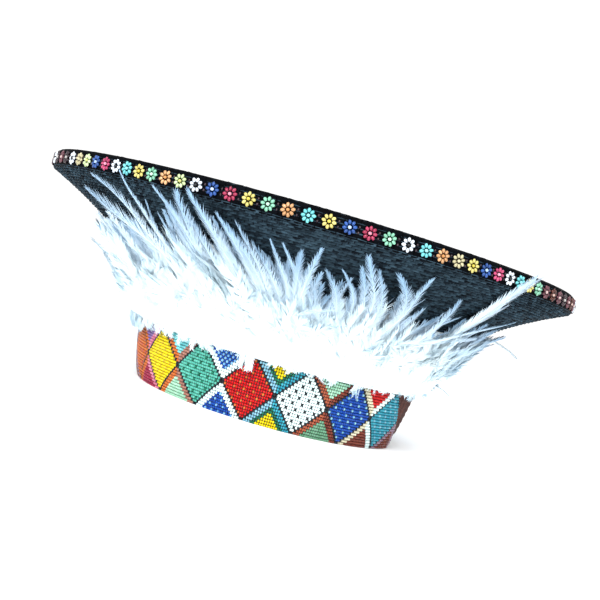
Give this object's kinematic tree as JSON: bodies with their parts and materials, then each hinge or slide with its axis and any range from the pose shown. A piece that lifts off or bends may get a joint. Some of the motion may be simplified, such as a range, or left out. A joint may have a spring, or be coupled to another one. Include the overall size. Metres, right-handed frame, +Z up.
{
  "type": "isicholo hat",
  "caption": "Wide flared basket hat with a closed dished crown, a head ring wrapped in a beaded diamond strip, a feather trim and bead rosettes round the rim.",
  "frame": {"origin": "centre of the hat's axis, at the bottom edge of the bead strip that the hat stands on", "axes": "+Z up, from the head opening to the crown; -Y is the front that the picture shows; the bead strip's open end is on the +X side"},
  "size_m": [0.392, 0.392, 0.1397],
  "materials": {
    "brown_thread": "matte wound cotton thread",
    "seed_beads": "glossy opaque glass beads in diamonds of many colours",
    "black_thread": "soft sheen of black thread stitched over coils",
    "rosette_beads": "glossy opaque glass beads",
    "white_feathers": "soft white feathers"
  },
  "bodies": {
    "root": {"head_ring": "brown_thread", "bead_strip": "seed_beads", "flare": "black_thread", "crown_top": "black_thread", "rosette_chain": "rosette_beads", "feather_trim": "white_feathers"}
  },
  "joints": []
}
